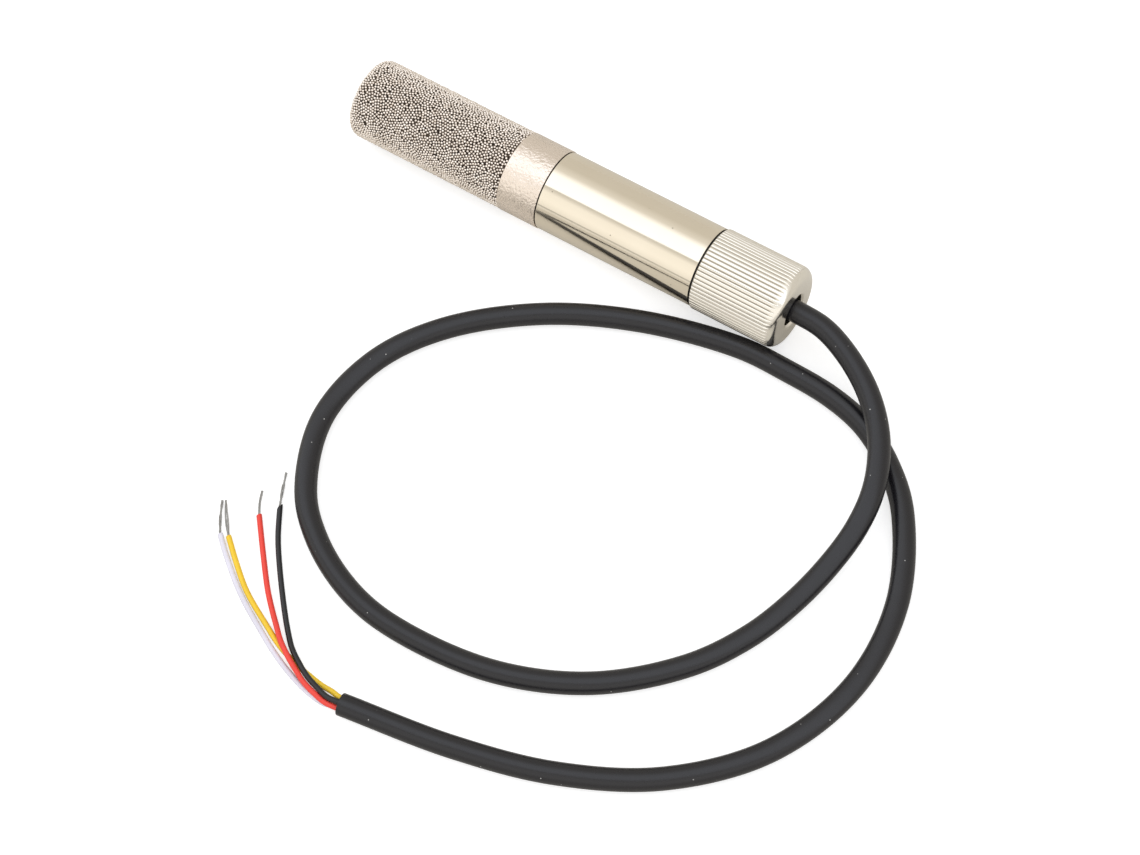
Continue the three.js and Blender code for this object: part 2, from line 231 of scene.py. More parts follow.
# nickel over a bead-blasted collar: satin, with an orange-peel grain that sparkles
blastedNickel = {
    "noises": {"tone": (3, 2, 1), "grain": (0.42, 2, 1), "peel": (1.1, 2, 1)},
    "dark": hexColour("#E4D7CA"),
    "light": hexColour("#EDE1D5"),
    "rough": ("grain", 0.3, 0.7, 0.2, 0.34),
    "relief": {"grain": 0.14, "peel": 0.1},
    "shader": {"Metallic": 1.0},
}


def polishedNickel(light, dark, roughness, wave, specks=None, grooves=None):
    # bright nickel plate on turned brass: a warm mirror, hardly wavy, with a few specks and, along
    # the bar, hazy streaks and hairlines
    return {
        "noises": {
            "tone": (9, 2, 1),
            "haze": (1.2, 3, 0.25),
            "hair": (0.5, 2, 0.04),
            "swell": (4, 1, 1),
        },
        "dark": hexColour(dark),
        "light": hexColour(light),
        "specks": specks,
        # painted shade in the knurl's grooves, given for the cap
        "grooves": grooves,
        "rough": ("haze", 0.3, 0.8, roughness, roughness * 1.7),
        "relief": {"hair": 0.0012, "swell": wave},
        "shader": {"Metallic": 1.0},
    }


def satinRubber(code, roughness, grain=0.25):
    # moulded rubber or plastic: matt skin with a fine grain
    return {
        "noises": {"tone": (2, 3, 1), "grain": (grain, 3, 1)},
        "dark": hexColour(code, 0.75),
        "light": hexColour(code),
        "relief": {"grain": 0.01},
        "shader": {"Roughness": roughness, "IOR": 1.5},
    }


def extrudedPvc(code, roughness, dust=None):
    # soft PVC drawn over a core: satin skin, slightly uneven, with a little dust on the jacket
    return {
        "noises": {"tone": (6, 3, 1), "grain": (0.35, 3, 1), "swell": (3, 1, 1)},
        "dark": hexColour(code, 0.82),
        "light": hexColour(code),
        "specks": dust,
        "rough": ("grain", 0.3, 0.7, roughness * 0.88, roughness * 1.12),
        "relief": {"swell": 0.03, "grain": 0.008},
        "shader": {"IOR": 1.53, "Specular IOR Level": 0.42},
    }


def tinnedMetal(code, roughness):
    # tin over copper: soft silver-grey, with dull and bright patches
    return {
        "noises": {"tone": (0.8, 3, 1), "grain": (0.15, 2, 1)},
        "dark": hexColour(code, 0.6),
        "light": hexColour(code),
        "rough": ("tone", 0.3, 0.7, roughness, roughness * 1.6),
        "relief": {"grain": 0.006},
        "shader": {"Metallic": 1.0},
    }


# specks and dust: spacing in millimetres, the shares of it where a speck starts to fade and is
# gone, its strength and its colour
tubeSpecks = (2.6, 0.03, 0.05, 0.8, "#5C5347")
jacketDust = (2.4, 0.03, 0.055, 0.75, "#C9C7C4")
looks = {
    "beads": ("sinteredNickel", sinteredNickel),
    "collar": ("blastedNickel", blastedNickel),
    "tube": ("polishedNickel", polishedNickel("#E9E0CF", "#E3D9C6", 0.075, 0.003, tubeSpecks)),
    "rubber": ("moulded nitrile rubber", satinRubber("#151516", 0.6)),
    "nylon": ("turned nylon", satinRubber("#1C1C1D", 0.42)),
    "epoxy": ("potting epoxy", satinRubber("#15161A", 0.22, 1.5)),
    "mask": ("solder mask on glass epoxy", satinRubber("#1E6B3A", 0.35, 0.6)),
    "track": ("solder mask over copper", satinRubber("#2E8A4E", 0.3, 0.6)),
    "membrane": ("expanded PTFE membrane", satinRubber("#D8D8D4", 0.7, 0.06)),
    "alumina": ("sintered alumina", satinRubber("#E4E1D8", 0.5, 0.1)),
    "chip": ("moulded epoxy package", satinRubber("#1B1B1D", 0.5, 0.12)),
    "ceramic": ("fired ceramic", satinRubber("#B0946B", 0.45, 0.1)),
    "solder": ("solder", tinnedMetal("#D0D1D3", 0.18)),
    "strand": ("tinned copper", tinnedMetal("#B9B7B3", 0.26)),
    "jacket": ("jacket PVC", extrudedPvc("#18171B", 0.3, jacketDust)),
    "white": ("white PVC", extrudedPvc("#E3E0EC", 0.4)),
    "yellow": ("yellow PVC", extrudedPvc("#F5CC2E", 0.38)),
    "red": ("red PVC", extrudedPvc("#EE4437", 0.38)),
    "black": ("black PVC", extrudedPvc("#1E1E20", 0.36)),
}
finishes = {key: newMaterial(name, skin, look) for key, (name, look) in looks.items()}
# painted shade: a dark brown under the beads that stands in for the shade between them
finishes["hollow"] = newMaterial("sinterHollowShade", sinterHollowShade, "#7A6C5E", "#2E2620")
finishes["floor"] = newMaterial("white table", whiteTable)
print("materials made:", len(finishes))


def addPiece(name, points, faces, material, sharp=38, attribute=None):
    # points is an (n, 3) array; faces is a list of index arrays, one for each number of sides
    mesh = bpy.data.meshes.new(name)
    faces = [f for f in faces if len(f)]
    mesh.vertices.add(len(points))
    mesh.vertices.foreach_set("co", np.asarray(points, np.float32).ravel())
    corners = np.concatenate([f.ravel() for f in faces])
    counts = np.concatenate([np.full(len(f), f.shape[1]) for f in faces])
    mesh.loops.add(len(corners))
    mesh.loops.foreach_set("vertex_index", corners.astype(np.int32))
    mesh.polygons.add(len(counts))
    starts = np.concatenate([[0], np.cumsum(counts)[:-1]])
    mesh.polygons.foreach_set("loop_start", starts.astype(np.int32))
    mesh.update(calc_edges=True)
    if attribute:
        label, values = attribute
        layer = mesh.attributes.new(label, "FLOAT", "POINT")
        layer.data.foreach_set("value", np.asarray(values, np.float32))
    mesh.polygons.foreach_set("use_smooth", np.ones(len(counts), bool))
    if sharp:
        mesh.set_sharp_from_angle(angle=math.radians(sharp))
    mesh.materials.append(finishes[material])
    piece = bpy.data.objects.new(name, mesh)
    bpy.context.scene.collection.objects.link(piece)
    return piece


def closePoles(piece):
    # merges the rings of points that have shrunk to one place
    mesh = bmesh.new()
    mesh.from_mesh(piece.data)
    bmesh.ops.remove_doubles(mesh, verts=mesh.verts, dist=1e-7)
    bmesh.ops.dissolve_degenerate(mesh, edges=mesh.edges, dist=1e-8)
    mesh.to_mesh(piece.data)
    mesh.free()
    return piece


def gridFaces(rows, columns, wrapRows=False, wrapColumns=True):
    i = np.arange(rows if wrapRows else rows - 1)[:, None]
    j = np.arange(columns if wrapColumns else columns - 1)[None, :]
    below, beside = (i + 1) % rows, (j + 1) % columns
    quads = [i * columns + j, i * columns + beside, below * columns + beside, below * columns + j]
    return np.stack([np.broadcast_to(q, (len(i), j.shape[1])) for q in quads], -1).reshape(-1, 4)


arcPoints = 5  # on a rounded corner, between its lead and its tail
perCorner = arcPoints + 2


def eased(corners, leadShare=1.6):
    # [x, radius, ease] corners of a closed outline, each rounded by a parabola that starts and
    # ends one ease away; the lead and the tail stand a little further out on the straights
    c = np.array(corners, float)
    here, ease = c[:, :2], c[:, 2:3]
    steps = []
    for other in (np.roll(here, 1, 0), np.roll(here, -1, 0)):
        way = other - here
        steps.append(way / np.maximum(np.linalg.norm(way, axis=1, keepdims=True), 1e-9) * ease)
    back, on = steps
    t = np.linspace(0, 1, arcPoints)[None, :, None]
    arc = here[:, None] + (1 - t) ** 2 * back[:, None] + t**2 * on[:, None]
    lead = (here + leadShare * back)[:, None]
    tail = (here + leadShare * on)[:, None]
    return np.concatenate([lead, arc, tail], 1)


def outlineRows(corners, threads=None):
    # rows of x, radius and thread cut round a closed outline; threads gives the cut of the
    # straight run that follows a corner
    rounded = eased(corners)
    rows = []
    for i, corner in enumerate(rounded):
        rows.append(np.column_stack([corner, np.zeros(len(corner))]))
        if threads and i in threads:
            following = rounded[(i + 1) % len(rounded)][0]
            rows.append(threadRows(corner[-1][0], following[0], following[1], threads[i]))
    return np.vstack(rows)


def threadRows(start, end, radius, cut, step=0.09 * mm, fade=0.7 * mm):
    # straight rows along a thread; the cut fades in and out at its ends
    count = int(abs(end - start) / step) + 2
    x = np.linspace(start, end, count)
    into = np.minimum(np.abs(x - start), np.abs(x - end)) / fade
    return np.column_stack([x, np.full(count, radius), cut * np.clip(into, 0, 1)])


def turnedPiece(name, rows, sides, material, sharp=38, pitch=1.0 * mm, limit=None):
    # a closed outline turned about the probe's axis; where a row has a cut, its radius follows a
    # helix, a cosine with cut-off crests and roots: a crest is where x / pitch - angle / one turn
    # is whole. A limit caps the radius at each angle
    rows = np.asarray(rows, float)
    nextRow = np.roll(rows, -1, 0)
    if np.sum(rows[:, 0] * nextRow[:, 1] - nextRow[:, 0] * rows[:, 1]) > 0:
        rows = rows[::-1]
    angle = np.arange(sides) * tau / sides
    x, radius, cut = rows.T
    crest = 0.5 + 0.5 * np.clip(1.5 * np.cos(tau * x[:, None] / pitch - angle), -1, 1)
    depth = cut[:, None]
    r = radius[:, None] + np.where(depth >= 0, -depth * (1 - crest), -depth * crest)
    if limit is not None:
        r = np.minimum(r, limit)
    along = np.broadcast_to(x[:, None], r.shape)
    points = np.stack([along, r * np.cos(angle), axisZ + r * np.sin(angle)], -1)
    faces = [gridFaces(len(rows), sides, wrapRows=True)]
    return closePoles(addPiece(name, points.reshape(-1, 3), faces, material, sharp))


def smoothPath(points, perSpan=24):
    # centripetal Catmull-Rom: between two points a cubic whose end slopes weigh the chords'
    # square roots; the ends are carried on straight
    p = np.array(points, float) * mm
    p = np.vstack([2 * p[0] - p[1], p, 2 * p[-1] - p[-2]])
    gap = np.sqrt(np.linalg.norm(np.diff(p, axis=0), axis=1))[:, None]
    before, span, after = gap[:-2], gap[1:-1], gap[2:]
    p0, p1, p2, p3 = p[:-3], p[1:-2], p[2:-1], p[3:]
    slopeIn = ((p1 - p0) / before - (p2 - p0) / (before + span) + (p2 - p1) / span) * span
    slopeOut = ((p2 - p1) / span - (p3 - p1) / (span + after) + (p3 - p2) / after) * span
    t = np.linspace(0, 1, perSpan, endpoint=False)[None, :, None]
    a, b, d, e = (v[:, None] for v in (p1, slopeIn, p2, slopeOut))
    cubic = a + b * t + (3 * (d - a) - 2 * b - e) * t**2 + (2 * (a - d) + b + e) * t**3
    return np.vstack([cubic.reshape(-1, 3), p[-2]])


def pathFrame(path, stations):
    # centre, side and up at distances along a path; the side is always level
    leg = np.linalg.norm(np.diff(path, axis=0), axis=1)
    along = np.concatenate([[0], np.cumsum(leg)])
    ahead = np.gradient(path, along, axis=0)
    centre = np.stack([np.interp(stations, along, path[:, k]) for k in range(3)], -1)
    ahead = np.stack([np.interp(stations, along, ahead[:, k]) for k in range(3)], -1)
    ahead /= np.linalg.norm(ahead, axis=1, keepdims=True)
    side = np.cross(ahead, (0, 0, 1))
    side /= np.linalg.norm(side, axis=1, keepdims=True)
    return centre, side, np.cross(side, ahead), ahead


def pathLength(path):
    return float(np.linalg.norm(np.diff(path, axis=0), axis=1).sum())


def roundCord(name, path, stations, radii, sides, material):
    # rings of these radii at these distances along the path, first and last shrunk to a point
    centre, side, up, _ = pathFrame(path, stations)
    angle = np.arange(sides) * tau / sides
    level, rise = np.cos(angle)[None, :, None], np.sin(angle)[None, :, None]
    ring = level * side[:, None] + rise * up[:, None]
    points = centre[:, None] + np.asarray(radii)[:, None, None] * ring
    faces = [gridFaces(len(stations), sides)[:, ::-1]]
    return closePoles(addPiece(name, points.reshape(-1, 3), faces, material))


def dressed(piece, body, slot, *nodes):
    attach(piece, body)
    if nodes:
        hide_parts(*nodes)
    return piece


cable = {
    "diameter": 4.0 * mm,
    "wall": 0.5 * mm,
    "hollowDepth": 2.2 * mm,
    "cutEase": 0.12 * mm,
    "sides": 40,
    "ring": 0.8 * mm,  # distance between rings
}
liesAt = 2.0  # height of its middle on the floor
axisHeight = axisZ / mm
cableDrop = [  # out of the cap and down to the floor
    (16, 0, axisHeight), (32, 0, axisHeight), (40, 0, axisHeight), (46, 0, axisHeight),
    (50.8, -0.4, axisHeight - 0.05), (56.2, -2.4, axisHeight - 0.3),
    (62.3, -6.1, axisHeight - 0.7), (67.2, -10.7, 6.65), (70.8, -16.0, 6.4),
    (73.3, -22.6, 5.9), (73.9, -29.6, 4.6), (72.9, -37.5, 3.1), (70.9, -45.6, 2.2),
]
cableLoop = [  # on the floor
    (67.6, -54.4), (61.4, -64.1), (48.9, -75.0), (32.9, -81.6), (13.6, -83.2), (3.5, -81.2),
    (-6.0, -76.3), (-12.8, -69.7), (-18.1, -56.6), (-16.3, -42.8), (-9.2, -31.4),
    (4.3, -20.3), (20.6, -12.7), (38.3, -8.5), (48.0, -8.3), (57.4, -8.9), (65.2, -11.0),
    (73.0, -15.9), (79.0, -22.2), (86.2, -37.0), (87.2, -53.5), (81.0, -70.0),
    (68.4, -83.0), (52.3, -91.4), (35.0, -96.2), (14.4, -99.4),
]
cableRoute = cableDrop + [(x, y, liesAt) for x, y in cableLoop]


def cutCord(name, path, c, cut, material):
    # closed at its start, then its skin at full radius, then the rows of the cut, each with its
    # distance before the end and its radius
    length = pathLength(path)
    skin = np.linspace(0, length - c["cutEase"], int(length / c["ring"]))
    before, radii = np.array(cut).T
    stations = np.concatenate([[0], skin, length - before])
    radii = np.concatenate([[0], np.full(len(skin), c["diameter"] / 2), radii])
    return roundCord(name, path, stations, radii, c["sides"], material)


def makeCable(c):
    path = smoothPath(cableRoute)
    radius, ease, deep = c["diameter"] / 2, c["cutEase"], c["hollowDepth"]
    bore = radius - c["wall"]
    # the rounded cut edge, the cut face and the hollow that the cores come out of
    cut = [(0.3 * ease, radius - 0.3 * ease), (0, radius - ease), (0, bore)]
    cut += [(ease, bore), (deep, bore), (deep, 0)]
    piece = cutCord("cableJacket", path, c, cut, "jacket")
    dressed(piece, "housing", "jacket_pvc", "cable_jacket")


makeCable(cable)

core = {
    "diameter": 1.0 * mm,
    "inside": 1.8,  # run inside the jacket, in millimetres
    "sides": 20,
    "ring": 0.3 * mm,
    "bore": 0.56,  # the strands' share of the radius
    "cutEase": 0.06 * mm,
    "cutRadius": 0.93,  # share of the radius left at the cut
    "hollowDepth": 0.4 * mm,
    "leanReach": 1.2 * mm,  # how far back the slant of the cut is felt
    "ragged": (0.25, 9),  # height and number of the cut's ragged teeth
}
onFloor = 0.5
coreRoutes = {
    "white": [
        (14.1, -99.6, 1.02), (11.4, -100.4, 0.6), (8.2, -100.15, onFloor),
        (4.4, -99.2, onFloor), (-0.4, -97.4, onFloor), (-5.6, -94.8, onFloor),
        (-12.4, -91.0, onFloor), (-18.7, -86.3, onFloor), (-21.8, -83.6, onFloor),
    ],
    "yellow": [
        (13.9, -98.5, 2.15), (11.6, -98.1, 1.3), (9.3, -97.9, 0.6), (7.2, -97.6, onFloor),
        (3.4, -96.9, onFloor), (-0.9, -95.6, onFloor), (-5.1, -93.6, onFloor),
        (-11.7, -90.1, onFloor), (-16.3, -86.6, onFloor), (-20.3, -83.2, onFloor),
    ],
    "red": [
        (14.1, -100.3, 1.95), (11.8, -100.45, 1.8), (9.2, -99.95, 1.75), (6.6, -99.2, 1.7),
        (4.1, -98.0, 1.7), (1.5, -96.6, 1.7), (-1.1, -94.9, 1.65), (-3.4, -92.9, 1.2),
        (-5.8, -90.8, 0.65), (-8.6, -88.1, onFloor), (-13.3, -82.7, onFloor),
        (-17.9, -77.2, onFloor),
    ],
    "black": [
        (14.1, -99.5, 2.9), (11.7, -99.55, 2.3), (9.2, -98.9, 1.85), (6.6, -98.05, 1.7),
        (3.8, -96.6, 1.6), (1.3, -95.0, 1.1), (-1.0, -92.9, 0.6), (-4.0, -89.7, onFloor),
        (-9.0, -83.8, onFloor), (-12.5, -79.2, onFloor), (-15.6, -74.1, onFloor),
    ],
}
strippedRoutes = {  # the bare strands beyond the insulation
    "white": [(-22.0, -83.35, 0.5), (-23.6, -80.9, 0.6), (-25.1, -78.1, 0.6)],
    "yellow": [(-20.5, -82.95, 0.5), (-21.9, -81.3, 0.6), (-24.6, -77.8, 0.6)],
    "red": [(-18.05, -76.95, 0.5), (-19.1, -75.2, 0.6), (-20.0, -73.1, 0.6)],
    "black": [(-15.75, -73.85, 0.5), (-16.8, -71.6, 0.6), (-18.3, -68.1, 0.6)],
}
# in millimetres: how far the strands part in the middle, the length of one twist, and the slant
# of the cut insulation
stripped = {
    "white": {"part": 0.04, "lay": 3.6, "slant": 0.1},
    "yellow": {"part": 0.26, "lay": 16, "slant": 0.05},
    "red": {"part": 0.0, "lay": 3.6, "slant": 0.1},
    "black": {"part": 0.06, "lay": 4.2, "slant": 0.5},
}
strands = {
    "radius": 0.078 * mm,
    "sides": 8,
    "rings": 64,
    "apart": 2.02,  # from the middle strand to the six round it, in radii
    "inside": 0.25,  # share of the first leg that runs back into the insulation
    "lowest": -0.2 * mm,  # how far below the middle a strand may lie
    "bow": (1.15, 0.8),  # stretch and power of the half sine by which they part
}


def makeStrands(colour, s, c):
    # six strands twisted round a seventh; in the middle they may part to two sides, as a half sine
    route = strippedRoutes[colour]
    first, second = (np.array(p) for p in route[:2])
    path = smoothPath([tuple(first - c["inside"] * (second - first)), *route])
    length = pathLength(path)
    stations = np.linspace(0, length, c["rings"])
    centre, side, up, _ = pathFrame(path, stations)
    strand = np.arange(7)[:, None]
    turn = tau * (strand / 6 + stations / (s["lay"] * mm))
    away = np.where(strand == 6, 0, c["apart"] * c["radius"])
    stretch, power = c["bow"]
    share = np.clip(stations / length * stretch - (stretch - 1), 0, 1)
    bow = s["part"] * mm * np.sin(math.pi * share) ** power
    across = away * np.cos(turn) + np.where(strand < 3, bow, -bow)
    rise = np.maximum(away * np.sin(turn), c["lowest"])
    middle = centre + across[..., None] * side + rise[..., None] * up
    angle = np.arange(c["sides"]) * tau / c["sides"]
    ring = np.cos(angle)[:, None] * side[:, None] + np.sin(angle)[:, None] * up[:, None]
    thick = np.full(len(stations), c["radius"])
    thick[[0, -1]] = 0
    points = middle[:, :, None] + thick[None, :, None, None] * ring[None]
    one = gridFaces(len(stations), c["sides"])[:, ::-1]
    shift = np.arange(7)[:, None, None] * len(stations) * c["sides"]
    faces = [(one[None] + shift).reshape(-1, 4)]
    name = "strands" + colour.capitalize()
    piece = closePoles(addPiece(name, points.reshape(-1, 3), faces, "strand"))
    return dressed(piece, "housing", "tinned_copper", "conductor_" + colour)


def leanCut(piece, path, slant, c):
    # the knife leaves a slanted, slightly ragged end: points near it move along the core by the
    # slant times their place across it, and by a sine round it
    _, side, up, ahead = (v[-1] for v in pathFrame(path, np.array([0, pathLength(path)])))
    places = np.zeros(len(piece.data.vertices) * 3, np.float32)
    piece.data.vertices.foreach_get("co", places)
    places = places.reshape(-1, 3).astype(float)
    rel = places - path[-1]
    near = np.clip(1 + rel @ ahead / c["leanReach"], 0, 1)
    height, teeth = c["ragged"]
    lean = rel @ side / (c["diameter"] / 2)
    lean += height * np.sin(teeth * np.arctan2(rel @ up, rel @ side))
    places += (near * lean * slant)[:, None] * ahead
    piece.data.vertices.foreach_set("co", places.astype(np.float32).ravel())


def makeCore(colour, c):
    route = coreRoutes[colour]
    into = np.array(cableRoute[-2]) - np.array(cableRoute[-1])
    inner = np.array(route[0]) + into / np.linalg.norm(into) * c["inside"]
    path = smoothPath([tuple(inner), *route])
    radius, deep = c["diameter"] / 2, c["hollowDepth"]
    bore = radius * c["bore"]
    cut = [(0, radius * c["cutRadius"]), (0, bore), (deep, bore), (deep, 0)]
    piece = cutCord("core" + colour.capitalize(), path, c, cut, colour)
    leanCut(piece, path, stripped[colour]["slant"] * mm, c)
    dressed(piece, "housing", "core_" + colour, "core_" + colour)
    makeStrands(colour, stripped[colour], strands)


for colour in coreRoutes:
    makeCore(colour, core)

beads = {
    "diameter": 0.53 * mm,
    "radius": reach("filter_cup"),
    "edge": 1.8 * mm,  # rounding of the tip
    "cover": 0.8,  # share of the surface under beads
    "rounds": 22,
    "shake": 0.16 * mm,  # how far the places stray before they are pushed apart
    "sink": 0.12 * mm,  # how unevenly deep they sit
    "stray": 0.012 * mm,  # how far they stray after it
    "push": 1.03,  # closest distance, in diameters
    "pushShare": 0.42,  # share of what is missing that each bead moves in a round
    "smallest": 0.9,  # in diameters
    "rings": (26, 52, 78, 104),  # degrees from a bead's crown
    "sides": 8,
    "seed": 11,
}


def filterSurface(s, b, depth):
    # outline by distance s from the tip's centre: a flat disc, a quarter circle, then the straight
    # side
    r, edge = b["radius"] - depth, b["edge"] - depth
    flat, quarter = r - edge, edge * math.pi / 2
    turn = np.clip((s - flat) / edge, 0, math.pi / 2)
    x = tipX + depth + edge * (1 - np.cos(turn)) + np.maximum(s - flat - quarter, 0)
    radius = np.minimum(s, flat) + edge * np.sin(turn)
    return x, radius, turn


def packedBeads(b):
    # an even golden-angle spiral over the surface, shaken, then pushed apart in space and put back
    # on the surface, round after round; sorted by their distance from the tip, a bead only meets
    # the ones next in the list
    half, closest = b["diameter"] / 2, b["push"] * b["diameter"]
    random = np.random.default_rng(b["seed"])
    edge = b["edge"] - half
    flat = b["radius"] - half - edge
    straight = collarX - half - (tipX + b["edge"])
    total = flat + edge * math.pi / 2 + straight
    table = np.linspace(0, total, 2000)
    girth = tau * filterSurface(table, b, half)[1]
    area = np.concatenate([[0], np.cumsum(0.5 * (girth[1:] + girth[:-1]) * np.diff(table))])
    count = int(b["cover"] * area[-1] / (math.pi * half**2))
    s = np.interp((np.arange(count) + 0.5) / count * area[-1], area, table)
    angle = np.arange(count) * math.pi * (3 - math.sqrt(5))
    shake = random.normal(0, b["shake"], (2, count))
    angle = angle + shake[1] / np.maximum(filterSurface(s, b, half)[1], half)
    s = np.clip(np.abs(s + shake[0]), 0, total)
    for _ in range(b["rounds"]):
        order = np.argsort(s)
        s, angle = s[order], angle[order]
        x, r, turn = filterSurface(s, b, half)
        place = np.stack([x, r * np.cos(angle), r * np.sin(angle)], -1)
        push = np.zeros_like(place)
        k = 1
        while not np.all(s[k:] - s[:-k] > closest):
            gap = place[k:] - place[:-k]
            apart = np.sqrt((gap**2).sum(1))
            short = np.maximum(closest - apart, 0) / np.maximum(apart, 1e-9)
            move = b["pushShare"] * gap * short[:, None]
            push[k:] += move
            push[:-k] -= move
            k += 1
        around = np.stack([-np.sin(angle), np.cos(angle)], -1)
        out = np.stack([np.cos(angle), np.sin(angle)], -1)
        s = s + push[:, 0] * np.sin(turn) + (push[:, 1:] * out).sum(1) * np.cos(turn)
        angle = angle + (push[:, 1:] * around).sum(1) / np.maximum(r, half)
        angle = np.where(s < 0, angle + math.pi, angle)
        s = np.minimum(np.abs(s), total)
    stray = random.normal(0, b["stray"], (2, count))
    angle = angle + stray[1] / np.maximum(filterSurface(s, b, half)[1], half)
    return np.minimum(np.abs(s + stray[0]), total), angle, random


def beadShape(b):
    # one bead of radius 1: its crown, then rings of points round it; the last ring is below its
    # equator and has a flat foot
    count = b["sides"]
    polar = np.radians(b["rings"])[:, None]
    spin = np.arange(count)[None, :] * tau / count
    level = np.broadcast_to(np.cos(polar), (len(polar), count))
    rings = np.stack([np.sin(polar) * np.cos(spin), np.sin(polar) * np.sin(spin), level], -1)
    unit = np.vstack([[0, 0, 1], rings.reshape(-1, 3), [0, 0, level[-1, 0]]])
    sides = np.arange(count)
    beside = (sides + 1) % count
    last = 1 + (len(polar) - 1) * count
    crown = np.stack([np.zeros_like(sides), 1 + sides, 1 + beside], -1)
    foot = np.stack([np.full_like(sides, len(unit) - 1), last + beside, last + sides], -1)
    return unit, (crown, gridFaces(len(polar), count)[:, ::-1] + 1, foot)


def makeBeads(b):
    s, angle, random = packedBeads(b)
    half = b["diameter"] / 2
    x, r, turn = filterSurface(s, b, half)
    out = np.stack([-np.cos(turn), np.sin(turn) * np.cos(angle), np.sin(turn) * np.sin(angle)], -1)
    around = np.stack([np.zeros_like(angle), -np.sin(angle), np.cos(angle)], -1)
    along = np.cross(around, out)
    sunk = random.uniform(0, 1, len(s)) ** 2 * b["sink"]
    crown = np.stack([x, r * np.cos(angle), axisZ + r * np.sin(angle)], -1)
    centre = crown - sunk[:, None] * out
    size = half * random.uniform(b["smallest"], 1.0, len(s))
    unit, beadFaces = beadShape(b)
    shape = (
        unit[None, :, 0:1] * around[:, None]
        - unit[None, :, 1:2] * along[:, None]
        + unit[None, :, 2:3] * out[:, None]
    )
    points = centre[:, None] + size[:, None, None] * shape
    tone = random.uniform(0, 1, len(s))
    tipEnd, middle = b["radius"] - half, (tipX + collarX) / 2
    groups = {
        "filterBeadsTip": s < tipEnd,
        "filterBeadsFront": (s >= tipEnd) & (x < middle),
        "filterBeadsRear": (s >= tipEnd) & (x >= middle),
    }
    for name, chosen in groups.items():
        count, perBead = int(chosen.sum()), len(unit)
        shift = np.arange(count)[:, None, None] * perBead
        faces = [(f[None] + shift).reshape(-1, f.shape[1]) for f in beadFaces]
        tones = ("beadTone", np.repeat(tone[chosen], perBead))
        places = points[chosen].reshape(-1, 3)
        piece = addPiece(name, places, faces, "beads", sharp=0, attribute=tones)
        dressed(piece, "filter", "sintered_nickel", "filter_cup")
        print(name, count, "beads")


filterBody = {
    "depth": 0.36 * mm,  # below the crowns of the beads
    "bore": 5.4 * mm,
    "tenon": 6.6 * mm,
    "tipWall": 2.6 * mm,
    "boreEnd": 1.0 * mm,
}


def makeFilterBody(b, f):
    front = tipX + f["depth"]
    outer = b["radius"] - f["depth"]
    tipWall = tipX + f["tipWall"]
    corners = [
        (front, 0, 0),
        (front, outer, b["edge"] - f["depth"]),
        (collarX - seatGap, outer, 0.02 * mm),
        (collarX - seatGap, f["tenon"], 0.02 * mm),
        (tenonEndX, f["tenon"], 0.1 * mm),
        (tenonEndX, f["bore"], 0.1 * mm),
        (tipWall, f["bore"], f["boreEnd"]),
        (tipWall, 0, 0),
    ]
    # the filter's body under the beads wears the painted shade
    piece = turnedPiece("filterBody", outlineRows(corners), 96, "hollow")
    dressed(piece, "filter", "sintered_nickel", "filter_cup")


makeBeads(beads)
makeFilterBody(beads, filterBody)
print("filter made")

collar = {
    "radius": reach("filter_collar"),
    "thread": 6.45 * mm,
    "cut": -0.42 * mm,  # the nut's thread is cut outwards
    "mouth": 0.5 * mm,
    "socket": 6.7 * mm,
    "ease": 0.1 * mm,
}


def makeCollar(c):
    floor = tenonEndX + seatGap
    corners = [
        (collarX, c["radius"], 0.05 * mm),
        (collarEndX, c["radius"], c["ease"]),
        (collarEndX, c["thread"] + c["mouth"], 0.04 * mm),
        (collarEndX - c["mouth"], c["thread"], 0.04 * mm),
        (floor, c["thread"], 0.04 * mm),
        (floor, c["socket"], 0.02 * mm),
        (collarX, c["socket"], 0.04 * mm),
    ]
    piece = turnedPiece("filterCollar", outlineRows(corners, {3: c["cut"]}), 192, "collar")
    dressed(piece, "filter", "satin_nickel", "filter_collar")


tube = {
    "radius": 7.5 * mm,
    "bore": 5.2 * mm,
    "frontThread": 6.3 * mm,
    "rearThread": 6.5 * mm,
    "runIn": 0.5 * mm,
    "cut": 0.45 * mm,
    "ease": 0.07 * mm,
}


def makeTube(t):
    fine = 0.04 * mm
    corners = [
        (frontThreadX, t["bore"], fine),
        (frontThreadX, t["frontThread"] - t["runIn"], fine),
        (frontThreadX + t["runIn"], t["frontThread"], fine),
        (tubeX, t["frontThread"], fine),
        (tubeX, t["radius"], t["ease"]),
        (tubeEndX, t["radius"], t["ease"]),
        (tubeEndX, t["rearThread"], fine),
        (rearThreadX - t["runIn"], t["rearThread"], fine),
        (rearThreadX, t["rearThread"] - t["runIn"], fine),
        (rearThreadX, t["bore"], fine),
    ]
    rows = outlineRows(corners, {2: t["cut"], 6: t["cut"]})
    piece = turnedPiece("probeTube", rows, 256, "tube", sharp=30)
    dressed(piece, "housing", "polished_nickel", "probe_tube")


softRings = [
    # name, body, node, inner radius and ease in millimetres, finish
    ("frontGasket", "filter_ring", "filter_gasket", 6.45, 0.06, "rubber"),
    ("rearGasket", "housing", "rear_gasket", 6.6, 0.1, "rubber"),
    ("slipWasher", "slip_ring", "slip_washer", 2.6, 0.12, "nylon"),
]


def makeSoftRings():
    for name, body, node, inner, ease, material in softRings:
        start, end = ends(node)
        outer = reach(node)
        corners = [(start, inner * mm), (start, outer), (end, outer), (end, inner * mm)]
        corners = [(x, radius, ease * mm) for x, radius in corners]
        piece = turnedPiece(name, outlineRows(corners), 96, material)
        dressed(piece, body, "black_" + material, node)


